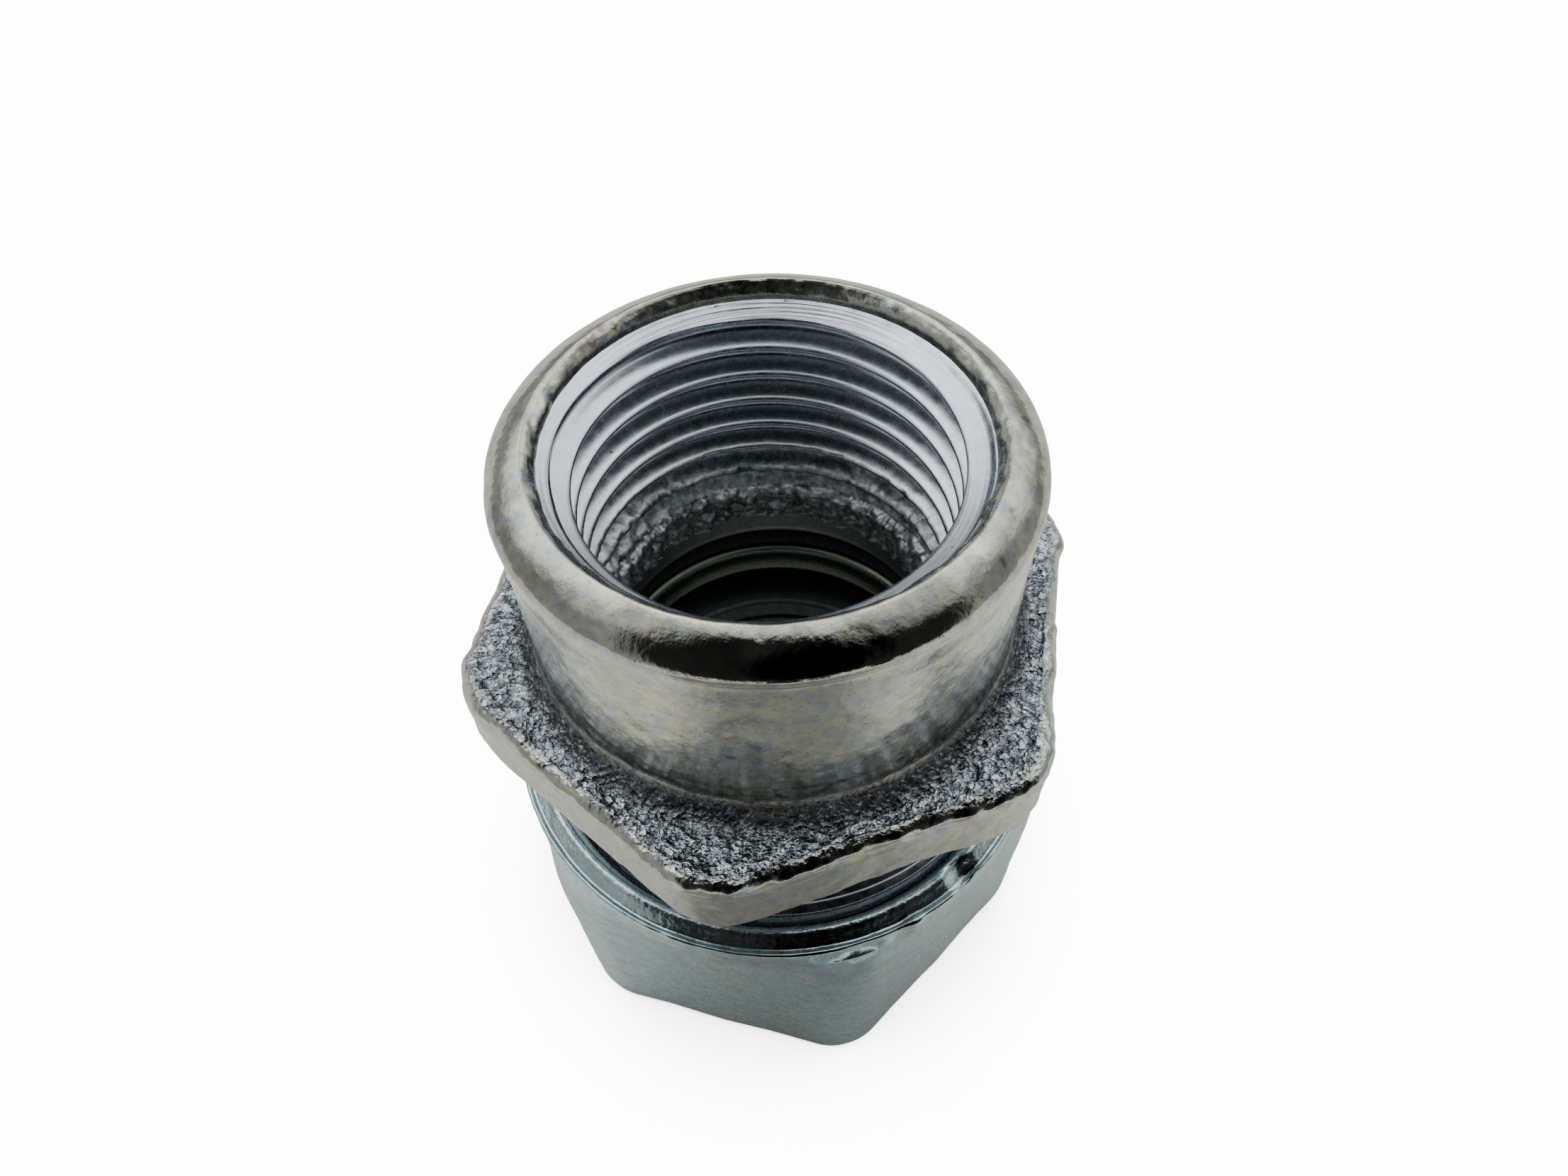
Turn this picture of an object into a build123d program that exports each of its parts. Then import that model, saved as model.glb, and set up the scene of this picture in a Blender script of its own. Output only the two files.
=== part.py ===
"""Compression union: a threaded socket on a hex flange, and a gland nut over a clamp ring.

Millimetres. The bore is the Z axis, Z = 0 is the underside of the nut, and the threaded
mouth looks up. Two corners of the body's hex lie on the Y axis.
"""
from build123d import *
import os

os.makedirs("parts", exist_ok=True)

# --- heights above the nut's underside ------------------------------------------------
NUT_TOP = 17.2
NUT_SHOULDER = 6.0
NECK_END = 9.4
HEX_BOTTOM = 23.4
HEX_TOP = 27.33
MOUTH = 40.2
POCKET_TOP = 22.5
TUBE_STOP = 24.3
LEDGE_TOP = 26.2

# --- tube side ------------------------------------------------------------------------
TUBE_ENTRY_R = 9.3
CLAMP_BORE_R = 9.1
SEAL_BORE_R = 9.15
POCKET_R = 11.6
WASHER_THICK = 2.0
SEAL_THICK = 2.1

# --- socket side, a parallel half-inch pipe thread --------------------------------------
PIPE_PITCH = 25.4 / 14
PIPE_MINOR_R = 9.316
PIPE_MAJOR_R = 10.478
BARREL_R = 12.9
BEAD_R = 13.2
MOUTH_EDGE_R = 10.6
MOUTH_EDGE_Z = 39.27
LEDGE_R = 8.8

# --- gland thread, 28 mm by 1.5 mm ------------------------------------------------------
GLAND_PITCH = 1.5
GLAND_MAJOR_R = 14.0
GLAND_DEPTH = 0.92
GLAND_CLEARANCE = 0.06
NUT_MINOR_R = 13.2

# --- hexagons ---------------------------------------------------------------------------
HEX_ACROSS = 30.9
HEX_CORNER_R = 3.5
NUT_ACROSS_BOTTOM = 29.7
NUT_CORNER_R = 4.0
NUT_DRAFT_DEG = 1.28
NUT_TURN_DEG = 25.65

# --- where each helix crosses the X axis --------------------------------------------------
PIPE_GROOVE_START = 27.16
NECK_GROOVE_START = 7.781
NUT_GROOVE_START = 5.531


def rounded_hex(across, corner_r, turn_deg):
    """A hexagon sketch with round corners, one of them at turn_deg past the Y axis."""
    with BuildSketch(mode=Mode.PRIVATE) as outline:
        RegularPolygon(across / 2, 6, major_radius=False, rotation=90 + turn_deg)
        fillet(outline.vertices(), corner_r)
    return outline.sketch


def thread_cutter(start_z, turns, pitch, inner, outer):
    """A swept ridge; inner and outer are (radius, width) of the section's two sides."""
    path = Helix(pitch, turns * pitch, inner[0], center=(0, 0, start_z))
    corners = [
        (inner[0], start_z - inner[1] / 2),
        (outer[0], start_z - outer[1] / 2),
        (outer[0], start_z + outer[1] / 2),
        (inner[0], start_z + inner[1] / 2),
    ]
    section = Plane.XZ * make_face(Polyline(*corners, close=True))
    return sweep(section, path=path, is_frenet=True)


def cone_frustum(low, high):
    """The solid of revolution under the line from low to high, both (radius, z)."""
    with BuildPart(mode=Mode.PRIVATE) as solid:
        with BuildSketch(Plane.XZ):
            with BuildLine():
                Polyline((0, low[1]), low, high, (0, high[1]), close=True)
            make_face()
        revolve(axis=Axis.Z)
    return solid.part


# --- body: bead, barrel, hex flange and threaded neck ------------------------------------
BEAD_CREST_R = 11.9
BEAD_WIDEST_Z = 38.5
BEAD_FOOT_Z = 36.9
BARREL_FILLET = 1.6
HEX_EDGE_FILLET = 0.6
NECK_CHAMFER = 0.9
POCKET_MOUTH_R = 12.2
POCKET_MOUTH_DEPTH = 1.2
PIPE_TURNS = 7.5
PIPE_MOUTH_WIDTH = 0.86
PIPE_ROOT_WIDTH = 0.30
NECK_TURNS = 10
NECK_MOUTH_WIDTH = 1.45
NECK_ROOT_WIDTH = 0.25
OVERLAP = 0.1

chamfer_depth = MOUTH_EDGE_R - PIPE_MINOR_R
pipe_tap = cone_frustum((PIPE_MINOR_R, LEDGE_TOP), (PIPE_MINOR_R, MOUTH + 1)) + thread_cutter(
    PIPE_GROOVE_START,
    PIPE_TURNS,
    PIPE_PITCH,
    (PIPE_MINOR_R - OVERLAP, PIPE_MOUTH_WIDTH),
    (PIPE_MAJOR_R, PIPE_ROOT_WIDTH),
)
neck_groove = thread_cutter(
    NECK_GROOVE_START,
    NECK_TURNS,
    GLAND_PITCH,
    (GLAND_MAJOR_R + 2 * OVERLAP, NECK_MOUTH_WIDTH),
    (GLAND_MAJOR_R - GLAND_DEPTH, NECK_ROOT_WIDTH),
)

with BuildPart() as body:
    with BuildSketch(Plane.XZ):
        with BuildLine():
            Polyline(
                (0, NECK_END),
                (GLAND_MAJOR_R - NECK_CHAMFER, NECK_END),
                (GLAND_MAJOR_R, NECK_END + NECK_CHAMFER),
                (GLAND_MAJOR_R, HEX_BOTTOM + 1),
                (BARREL_R, HEX_TOP - 1),
                (BARREL_R, BEAD_FOOT_Z),
            )
            ThreePointArc(
                (BARREL_R, BEAD_FOOT_Z),
                (BEAD_R, BEAD_WIDEST_Z),
                (BEAD_CREST_R, MOUTH),
            )
            ThreePointArc(
                (BEAD_CREST_R, MOUTH),
                (BEAD_CREST_R - 0.8, MOUTH - 0.3),
                (MOUTH_EDGE_R, MOUTH_EDGE_Z),
            )
            Polyline((MOUTH_EDGE_R, MOUTH_EDGE_Z), (0, MOUTH_EDGE_Z), (0, NECK_END))
        make_face()
    revolve(axis=Axis.Z)
    with BuildSketch(Plane.XY.offset(HEX_BOTTOM)):
        add(rounded_hex(HEX_ACROSS, HEX_CORNER_R, 0))
    extrude(amount=HEX_TOP - HEX_BOTTOM)
    barrel_root = body.edges().filter_by(GeomType.CIRCLE).filter_by_position(
        Axis.Z, HEX_TOP - 0.01, HEX_TOP + 0.01
    ).filter_by(lambda edge: abs(edge.radius - BARREL_R) < 0.01)
    fillet(barrel_root, BARREL_FILLET)
    fillet(body.faces().filter_by(Plane.XY).filter_by_position(
        Axis.Z, HEX_TOP - 0.01, HEX_TOP + 0.01
    ).edges().filter_by(lambda edge: edge.center().Z > HEX_TOP - 0.01)
        .filter_by(lambda edge: edge.length < 20), HEX_EDGE_FILLET)
    add(pipe_tap, mode=Mode.SUBTRACT)
    add(
        cone_frustum((PIPE_MINOR_R, MOUTH_EDGE_Z - chamfer_depth), (MOUTH_EDGE_R, MOUTH_EDGE_Z)),
        mode=Mode.SUBTRACT,
    )
    add(cone_frustum((LEDGE_R, TUBE_STOP - 1), (LEDGE_R, LEDGE_TOP + 1)), mode=Mode.SUBTRACT)
    add(cone_frustum((TUBE_ENTRY_R, POCKET_TOP - 1), (TUBE_ENTRY_R, TUBE_STOP)), mode=Mode.SUBTRACT)
    add(cone_frustum((POCKET_R, NECK_END), (POCKET_R, POCKET_TOP)), mode=Mode.SUBTRACT)
    add(
        cone_frustum((POCKET_MOUTH_R, NECK_END), (POCKET_R, NECK_END + POCKET_MOUTH_DEPTH)),
        mode=Mode.SUBTRACT,
    )
    add(neck_groove, mode=Mode.SUBTRACT)
body.part.label = "body"
export_step(body.part, "parts/body.step")

# --- seal ring and thrust washer, seated in the neck's pocket ----------------------------
SEAL_OUTER_R = 11.55
WASHER_OUTER_R = 11.4
EDGE_BREAK = 0.3
seal_bottom = POCKET_TOP - SEAL_THICK
washer_bottom = seal_bottom - WASHER_THICK

with BuildPart() as seal_ring:
    with BuildSketch(Plane.XY.offset(seal_bottom)):
        Circle(SEAL_OUTER_R)
        Circle(SEAL_BORE_R, mode=Mode.SUBTRACT)
    extrude(amount=SEAL_THICK)
    fillet(seal_ring.edges(), EDGE_BREAK)
seal_ring.part.label = "seal_ring"
export_step(seal_ring.part, "parts/seal_ring.step")

with BuildPart() as thrust_washer:
    with BuildSketch(Plane.XY.offset(washer_bottom)):
        Circle(WASHER_OUTER_R)
        Circle(TUBE_ENTRY_R, mode=Mode.SUBTRACT)
    extrude(amount=WASHER_THICK)
    fillet(thrust_washer.edges(), EDGE_BREAK)
thrust_washer.part.label = "thrust_washer"
export_step(thrust_washer.part, "parts/thrust_washer.step")

# --- clamp ring: split, coned where the nut presses it, toothed inside -------------------
CLAMP_TOP = 15.2
CLAMP_BOTTOM = 4.35
CLAMP_OUTER_R = 11.52
CLAMP_SEAT_GAP = 0.14
SLIT_WIDTH = 2.0
SLIT_AT_DEG = -75
TOOTH_COUNT = 6
TOOTH_PITCH = 1.4
TOOTH_DEPTH = 0.3
FIRST_TOOTH_Z = 6.2
cone_offset = CLAMP_OUTER_R - (POCKET_R - NUT_SHOULDER) + CLAMP_SEAT_GAP

with BuildPart() as clamp_ring:
    with BuildSketch(Plane.XZ):
        with BuildLine():
            Polyline(
                (CLAMP_BORE_R, CLAMP_TOP),
                (CLAMP_BORE_R, CLAMP_BOTTOM),
                (CLAMP_OUTER_R - (cone_offset - CLAMP_BOTTOM), CLAMP_BOTTOM),
                (CLAMP_OUTER_R, cone_offset),
                (CLAMP_OUTER_R, CLAMP_TOP),
                close=True,
            )
        make_face()
        for tooth in range(TOOTH_COUNT):
            low = FIRST_TOOTH_Z + tooth * TOOTH_PITCH
            with BuildLine():
                Polyline(
                    (CLAMP_BORE_R, low),
                    (CLAMP_BORE_R + TOOTH_DEPTH, low),
                    (CLAMP_BORE_R, low + TOOTH_PITCH / 2),
                    close=True,
                )
            make_face(mode=Mode.SUBTRACT)
    revolve(axis=Axis.Z)
    with BuildSketch(Plane.XY):
        with Locations(Rot(0, 0, SLIT_AT_DEG)):
            with Locations((POCKET_R, 0)):
                Rectangle(2 * POCKET_R, SLIT_WIDTH)
    extrude(amount=CLAMP_TOP + 1, mode=Mode.SUBTRACT)
    fillet(clamp_ring.edges().group_by(Axis.Z)[-1].filter_by(GeomType.CIRCLE), EDGE_BREAK)
clamp_ring.part.label = "clamp_ring"
export_step(clamp_ring.part, "parts/clamp_ring.step")

# --- compression nut: drafted hexagon under a round collar, gland thread, coned seat -----
SEAT_DEPTH = POCKET_R - TUBE_ENTRY_R
ENTRY_CHAMFER_R = 1.5
ENTRY_CHAMFER_Z = 0.5
COLLAR_R = 16.08
COLLAR_EDGE_Z = 16.17
COLLAR_FOOT_Z = 15.3
COLLAR_ROOT = (15.0, 12.6)
COLLAR_MOUTH_R = 14.9
CORNER_CUT = 3.0
NUT_TURNS = 8
NUT_MOUTH_WIDTH = 1.46
NUT_ROOT_WIDTH = 0.36
nut_tap = cone_frustum((NUT_MINOR_R, NUT_SHOULDER), (NUT_MINOR_R, NUT_TOP + 1)) + thread_cutter(
    NUT_GROOVE_START,
    NUT_TURNS,
    GLAND_PITCH,
    (NUT_MINOR_R - OVERLAP, NUT_MOUTH_WIDTH),
    (GLAND_MAJOR_R + GLAND_CLEARANCE, NUT_ROOT_WIDTH),
)

with BuildPart() as compression_nut:
    with BuildSketch():
        add(rounded_hex(NUT_ACROSS_BOTTOM, NUT_CORNER_R, NUT_TURN_DEG))
    extrude(amount=NUT_TOP, taper=-NUT_DRAFT_DEG)
    with BuildSketch(Plane.XZ):
        with BuildLine():
            Polyline(
                (0, COLLAR_ROOT[1]),
                COLLAR_ROOT,
                (COLLAR_R, COLLAR_FOOT_Z),
                (COLLAR_R, COLLAR_EDGE_Z),
                (COLLAR_MOUTH_R, NUT_TOP),
                (0, NUT_TOP),
                close=True,
            )
        make_face()
    revolve(axis=Axis.Z)
    with BuildSketch(Plane.XZ):
        with BuildLine():
            Polyline(
                (COLLAR_MOUTH_R, NUT_TOP),
                (COLLAR_R, COLLAR_EDGE_Z),
                (COLLAR_R + CORNER_CUT, COLLAR_EDGE_Z - CORNER_CUT),
                (COLLAR_R + CORNER_CUT, NUT_TOP),
                close=True,
            )
        make_face()
    revolve(axis=Axis.Z, mode=Mode.SUBTRACT)
    with BuildSketch(Plane.XZ):
        with BuildLine():
            Polyline(
                (0, -1),
                (TUBE_ENTRY_R + ENTRY_CHAMFER_R, -1),
                (TUBE_ENTRY_R, ENTRY_CHAMFER_Z),
                (TUBE_ENTRY_R, NUT_SHOULDER - SEAT_DEPTH),
                (POCKET_R, NUT_SHOULDER),
                (0, NUT_SHOULDER),
                close=True,
            )
        make_face()
    revolve(axis=Axis.Z, mode=Mode.SUBTRACT)
    add(nut_tap, mode=Mode.SUBTRACT)
    add(
        cone_frustum(
            (NUT_MINOR_R, NUT_TOP - COLLAR_MOUTH_R + NUT_MINOR_R),
            (COLLAR_MOUTH_R - OVERLAP, NUT_TOP - OVERLAP),
        ),
        mode=Mode.SUBTRACT,
    )
    add(
        cone_frustum(
            (COLLAR_MOUTH_R - OVERLAP, NUT_TOP - OVERLAP),
            (COLLAR_MOUTH_R - OVERLAP, NUT_TOP + 1),
        ),
        mode=Mode.SUBTRACT,
    )
compression_nut.part.label = "compression_nut"
export_step(compression_nut.part, "parts/compression_nut.step")
for piece in (body, seal_ring, thrust_washer, clamp_ring, compression_nut):
    print(piece.part.label, round(piece.part.volume, 1), piece.part.bounding_box())
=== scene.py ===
"""Looks for the compression union: cast and plated body and nut, rings, light and camera."""

import math

import bpy
import numpy as np
from mathutils import Matrix, Vector


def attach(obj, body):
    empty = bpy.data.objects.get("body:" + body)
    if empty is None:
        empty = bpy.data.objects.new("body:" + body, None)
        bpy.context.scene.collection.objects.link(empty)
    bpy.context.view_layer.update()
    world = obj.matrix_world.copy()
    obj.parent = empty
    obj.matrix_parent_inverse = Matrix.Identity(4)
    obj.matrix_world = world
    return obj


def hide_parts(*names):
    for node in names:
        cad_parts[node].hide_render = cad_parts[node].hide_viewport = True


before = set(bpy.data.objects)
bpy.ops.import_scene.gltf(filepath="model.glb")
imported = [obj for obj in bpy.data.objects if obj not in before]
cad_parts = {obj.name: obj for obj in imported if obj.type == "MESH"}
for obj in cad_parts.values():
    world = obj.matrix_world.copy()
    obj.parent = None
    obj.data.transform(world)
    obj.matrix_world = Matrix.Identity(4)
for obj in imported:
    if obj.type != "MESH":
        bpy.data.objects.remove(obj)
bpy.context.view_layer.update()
MM = 0.001
TAU = 2 * math.pi

# Lengths below are millimetres, as the CAD model has them.
PIPE_PITCH = 25.4 / 14
PIPE_MINOR_R = 9.316
PIPE_DEPTH = 1.162
PIPE_CREST_Z = 38.26      # where a crest of the socket's thread crosses the X axis
GLAND_PITCH = 1.5
GLAND_MAJOR_R = 14.0
GLAND_DEPTH = 0.92
GLAND_CREST_Z = 17.531    # where a crest of the gland thread crosses the X axis
NECK_END = 9.4
HEX_BOTTOM = 23.4
TUBE_STOP = 24.3
LEDGE_TOP = 26.2
LEDGE_R = 9.3             # the body's bore between the ledge and the ring pocket
POCKET_R = 11.6
POCKET_TOP = 22.5
MOUTH_EDGE = (10.6, 39.27)
CHAMFER_SLOPE = 0.62      # height over width of the chamfer at the socket's mouth
BEAD_TOP = (11.0, 40.1)   # where the lip turns into the bead, as (r, z); so are the next three
BEAD_END = (13.05, 38.85)
BARREL_TOP = (12.97, 37.1)
BARREL_FOOT = (12.88, 29.6)
FACE_INNER_R = 13.9       # where the barrel's root meets the flange's face
FACE_Z = 27.42
FLANGE_APOTHEM = 15.45
FLANGE_CORNER_R = 4.1
CREST_RISE = 0.12         # how far the flange's edge stands up above its face
CREST_Z = 27.54
CREST_ROUND = 0.65
RIM_TOP = 26.89
RIM_FOOT = 23.9
RIM_FOOT_ROUND = 0.5
NUT_TOP = 17.2
NUT_MOUTH_R = 14.55
NUT_MOUTH_SLOPE = 0.35
NUT_THREAD_FOOT = 6.0
NUT_APOTHEM = 14.85       # of the nut's hexagon at its foot
NUT_DRAFT = 0.022         # how much wider the hexagon is for each millimetre of height
NUT_CORNER_R = 4.0
NUT_FOOT_ROUND = 0.45
FLARE_FOOT_R = 14.9       # the flats flare from here out to the collar
FLARE_HEIGHTS = (11.8, 15.6)
COLLAR = (16.08, 16.17)   # the outer edge of the nut's sloping rim
COLLAR_CUT = (0.42, 0.5)  # how far outside the collar the turned cone starts, and its slope
NUT_TURN = math.radians(25.65)
CLEFT = math.radians(-37)     # where the nut's rim has a cleft from casting, and a bump beside it
BUMP = math.radians(-51)
COLUMNS = 704             # points round the body and the nut
RING_COLUMNS = 256        # points round the seal and the washer


# --- noise ----------------------------------------------------------------------------
def lattice(ix, iy, iz, seed):
    """A repeatable random number from 0 to 1 for each whole-number corner."""
    h = (ix * 374761393 + iy * 668265263 + iz * 1440662683 + seed * 974634777) & 0xFFFFFFFF
    h = ((h ^ (h >> 13)) * 1274126177) & 0xFFFFFFFF
    return ((h ^ (h >> 16)) & 0xFFFF) / 65535.0


def value_noise(points, size, seed):
    """Smooth noise from -1 to 1 with features about size across."""
    q = points / size
    base = np.floor(q).astype(np.int64)
    f = q - base
    f = f * f * f * (f * (6 * f - 15) + 10)
    total = np.zeros(len(points))
    for dx in (0, 1):
        wx = f[:, 0] if dx else 1 - f[:, 0]
        for dy in (0, 1):
            wy = f[:, 1] if dy else 1 - f[:, 1]
            for dz in (0, 1):
                wz = f[:, 2] if dz else 1 - f[:, 2]
                corner = lattice(base[:, 0] + dx, base[:, 1] + dy, base[:, 2] + dz, seed)
                total += wx * wy * wz * corner
    return 2 * total - 1


def layered(points, size, seed, layers=3, fade=0.55):
    """Noise in layers, each half the size of the last."""
    total = np.zeros(len(points))
    gain = 1.0
    for layer in range(layers):
        total += gain * value_noise(points, size / 2**layer, seed + 17 * layer)
        gain *= fade
    return total


def ramp(x, low, high):
    """0 below low, 1 above high, smooth between."""
    t = np.clip((x - low) / (high - low), 0, 1)
    return t * t * (3 - 2 * t)


# --- outlines -------------------------------------------------------------------------
def hex_radius(theta, apothem, corner_r, turn):
    """Distance from the axis to a round-cornered hexagon with a corner at turn past the Y axis."""
    phi = (theta - turn - math.pi / 2 + math.pi / 6) % (math.pi / 3) - math.pi / 6
    phi = np.abs(phi)
    centre = (apothem - corner_r) * 2 / math.sqrt(3)
    edge = math.atan2(corner_r / 2, centre + corner_r * math.sqrt(3) / 2)
    arc = centre * np.cos(phi) + np.sqrt(np.maximum(corner_r**2 - (centre * np.sin(phi)) ** 2, 0))
    flat = apothem / np.cos(math.pi / 6 - phi)
    return np.where(phi < edge, arc, flat)


def smooth_max(a, b, blend):
    """The larger of the two, rounded off where they cross."""
    return a + 0.5 * (b - a + np.sqrt((b - a) ** 2 + blend))


def smooth_min(a, b, blend):
    """The smaller of the two, rounded off where they cross."""
    return a - 0.5 * (a - b + np.sqrt((a - b) ** 2 + blend))


def thread_wave(z, theta, crest_z, pitch, crest_round, root_round, half_angle):
    """0 at a crest, 1 at a root, on a right-hand helix whose flanks stand at half_angle."""
    x = (z - crest_z - pitch * theta / TAU) % pitch
    x = np.minimum(x, pitch - x)
    half = pitch / 2
    slope = 1 / math.tan(half_angle)

    def corner(radius):
        """How wide and how deep a rounded crest or root is."""
        return radius * math.cos(half_angle), radius * (1 - math.sin(half_angle))

    (crest_x, crest_y), (root_x, root_y) = corner(crest_round), corner(root_round)
    depth = crest_y + root_y + slope * (half - crest_x - root_x)
    crest = crest_round - np.sqrt(np.maximum(crest_round**2 - np.minimum(x, crest_x) ** 2, 0))
    left = half - x
    root = depth - root_round + np.sqrt(np.maximum(root_round**2 - np.minimum(left, root_x) ** 2, 0))
    y = np.where(x < crest_x, crest, np.where(left < root_x, root, crest_y + slope * (x - crest_x)))
    return y / depth


def socket_r(z, theta):
    """Radius of the threaded socket at a height and an angle, with the mouth's chamfer."""
    wave = thread_wave(z, theta, PIPE_CREST_Z, PIPE_PITCH, 0.14, 0.50, math.radians(27.5))
    full = ramp(z, LEDGE_TOP - 0.4, LEDGE_TOP + 2.0)
    place = np.stack([PIPE_MINOR_R * np.cos(theta), PIPE_MINOR_R * np.sin(theta), z], -1)
    torn_off = 0.30 * ramp(z, 30.4, 28.6) * np.clip(layered(place, 0.9, 21), 0, 1)
    thread = PIPE_MINOR_R + np.maximum(PIPE_DEPTH * wave * full, torn_off)
    cone = MOUTH_EDGE[0] - (MOUTH_EDGE[1] - z) / CHAMFER_SLOPE
    return np.maximum(thread, cone)


def neck_r(z, theta):
    """Radius of the gland thread at a height and an angle."""
    wave = thread_wave(z, theta, GLAND_CREST_Z, GLAND_PITCH, 0.12, 0.12, math.radians(30))
    run_in = 0.9 * ramp(NECK_END + 0.9 - z, 0, 0.9)
    relief = ramp(z, HEX_BOTTOM - 1.4, HEX_BOTTOM - 0.7)
    wave = wave * (1 - relief) + 0.85 * relief
    return GLAND_MAJOR_R - np.maximum(GLAND_DEPTH * wave, run_in)


def nut_bore_r(z, theta):
    """Radius of the nut's own thread, which clears the neck's."""
    wave = thread_wave(z, theta, GLAND_CREST_Z, GLAND_PITCH, 0.08, 0.08, math.radians(30))
    thread = GLAND_MAJOR_R + 0.06 - 0.86 * wave
    return np.maximum(thread, NUT_MOUTH_R - NUT_MOUTH_SLOPE * (NUT_TOP - z))


# --- surfaces as rings of points ------------------------------------------------------
class Rings:
    """Rows of points round the axis, added one after another along a closed outline."""

    def __init__(self, columns):
        self.columns = columns
        self.theta = np.arange(columns) * TAU / columns
        self.r, self.z, self.shift, self.zone = [], [], [], []

    def row(self, r, z, zone):
        """One row; r and z are numbers, or arrays with a value for each column."""
        ones = np.ones(self.columns)
        self.r.append(r * ones)
        self.z.append(z * ones)
        self.zone.append(zone)

    def line(self, a, b, steps, zone, start=0):
        """Straight rows from a to b, both (r, z)."""
        for k in range(start, steps + 1):
            t = k / steps
            self.row(a[0] + (b[0] - a[0]) * t, a[1] + (b[1] - a[1]) * t, zone)

    def smooth(self, knots, steps, zone):
        """Rows along a Catmull-Rom curve through the knots, without its first point."""
        pts = [np.array(k, float) for k in knots]
        pts = [2 * pts[0] - pts[1]] + pts + [2 * pts[-1] - pts[-2]]
        for i in range(1, len(pts) - 2):
            a, b, c, d = pts[i - 1 : i + 3]
            for k in range(1, steps + 1):
                t = k / steps
                p = 0.5 * (2 * b + (c - a) * t + (2 * a - 5 * b + 4 * c - d) * t**2
                           + (3 * b - 3 * c + d - a) * t**3)
                self.row(p[0], p[1], zone)

    def helix(self, r_of, low, high, crest_z, pitch, per_turn, zone, down=False):
        """Rows that follow a thread, cut off flat at low and high; r_of(z, theta) is the wall."""
        first = crest_z - pitch * (math.ceil((crest_z - low) / pitch) + 1)
        count = math.ceil((high - first) / pitch * per_turn)
        order = range(count, -1, -1) if down else range(count + 1)
        begin = len(self.r)
        for j in order:
            z = np.clip(first + j * pitch / per_turn + pitch * self.theta / TAU, low, high)
            self.row(r_of(z, self.theta), z, zone)
        self.shift.append((begin, len(self.r) - 1, -per_turn if down else per_turn))

    def mesh(self, name, slots):
        """A closed mesh from the rows, with points that coincide made one.

        slots gives each zone's material slot. Along a thread, a row's last column joins the row one
        turn on, so the seam closes the helix.
        """
        rows = len(self.r)
        r = np.array(self.r)
        z = np.array(self.z)
        points = np.stack([r * np.cos(self.theta), r * np.sin(self.theta), z], -1).reshape(-1, 3)
        a = np.arange(rows)
        b = (a + 1) % rows
        here = np.arange(self.columns - 1)
        row_a = a[:, None] * self.columns + here
        row_b = b[:, None] * self.columns + here
        between = np.stack([row_a, row_a + 1, row_b + 1, row_b], -1).reshape(-1, 4)
        a_far, b_far = a.copy(), b.copy()
        for first, last, slip in self.shift:
            inside = (a >= first) & (a < last)
            a_far[inside] = np.clip(a[inside] + slip, first, last)
            b_far[inside] = np.clip(b[inside] + slip, first, last)
        end = self.columns - 1
        seam = np.stack([a * self.columns + end, a_far * self.columns, b_far * self.columns,
                         b * self.columns + end], -1)
        quads = np.concatenate([between, seam])
        owner = np.concatenate([np.repeat(a, self.columns - 1), a])
        zones = sorted(set(self.zone))
        zone_of_row = np.array([zones.index(q) for q in self.zone])
        keys = np.round(points * 2e3).astype(np.int64)
        keys = (keys[:, 0] * 200003 + keys[:, 1]) * 200003 + keys[:, 2]
        _, keep, same = np.unique(keys, return_index=True, return_inverse=True)
        quads = same.reshape(-1)[quads][:, ::-1]
        faces, face_zone = [], []
        for quad, row in zip(quads.tolist(), owner.tolist()):
            corner = [v for i, v in enumerate(quad) if v != quad[i - 1]]
            if len(set(corner)) > 2 and len(set(corner)) == len(corner):
                faces.append(corner)
                face_zone.append(zone_of_row[row])
        mesh = bpy.data.meshes.new(name)
        mesh.from_pydata((points[keep] * MM).tolist(), [], faces)
        mesh.polygons.foreach_set("use_smooth", [True] * len(faces))
        mesh.polygons.foreach_set("material_index", [slots[zones[k]] for k in face_zone])
        self.row_of_vertex = keep // self.columns
        return mesh

    def share(self, zone, reach):
        """How far each vertex belongs to a zone, from 0 to 1, eased over reach along the outline."""
        r = np.array(self.r)
        z = np.array(self.z)
        step = np.hypot(np.diff(r, axis=0), np.diff(z, axis=0)).mean(axis=1)
        along = np.concatenate([[0], np.cumsum(step)])
        weight = np.concatenate([[0], step]) + np.concatenate([step, [0]]) + 1e-4
        inside = np.array([name == zone for name in self.zone], float)
        near = np.exp(-0.5 * ((along[:, None] - along[None, :]) / reach) ** 2) * weight
        return ((near * inside).sum(axis=1) / near.sum(axis=1))[self.row_of_vertex]

    def relief(self, points, layers_of, seed):
        """A height for each vertex: every zone's own noise, faded into its neighbours'."""
        height = np.zeros(len(points))
        for zone, size, depth, layers in layers_of:
            share = self.share(zone, 0.22) * depth
            mine = share > 0.0005
            height[mine] += share[mine] * layered(points[mine], size, seed + 101 * len(zone), layers)
        return height


def displaced(mesh, amount):
    """Moves each vertex along its normal by amount, in millimetres."""
    count = len(mesh.vertices)
    flat = np.empty(count * 3)
    mesh.vertices.foreach_get("co", flat)
    normal = np.empty(count * 3)
    mesh.vertices.foreach_get("normal", normal)
    mesh.vertices.foreach_set("co", flat + normal * np.repeat(amount * MM, 3))
    mesh.update()


def coordinates(mesh):
    """The mesh's vertices in millimetres."""
    flat = np.empty(len(mesh.vertices) * 3)
    mesh.vertices.foreach_get("co", flat)
    return flat.reshape(-1, 3) / MM


def attribute(mesh, name, values):
    """A number for each vertex, which a material can read by name."""
    layer = mesh.attributes.new(name, "FLOAT", "POINT")
    layer.data.foreach_set("value", np.asarray(values, np.float32))


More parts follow.
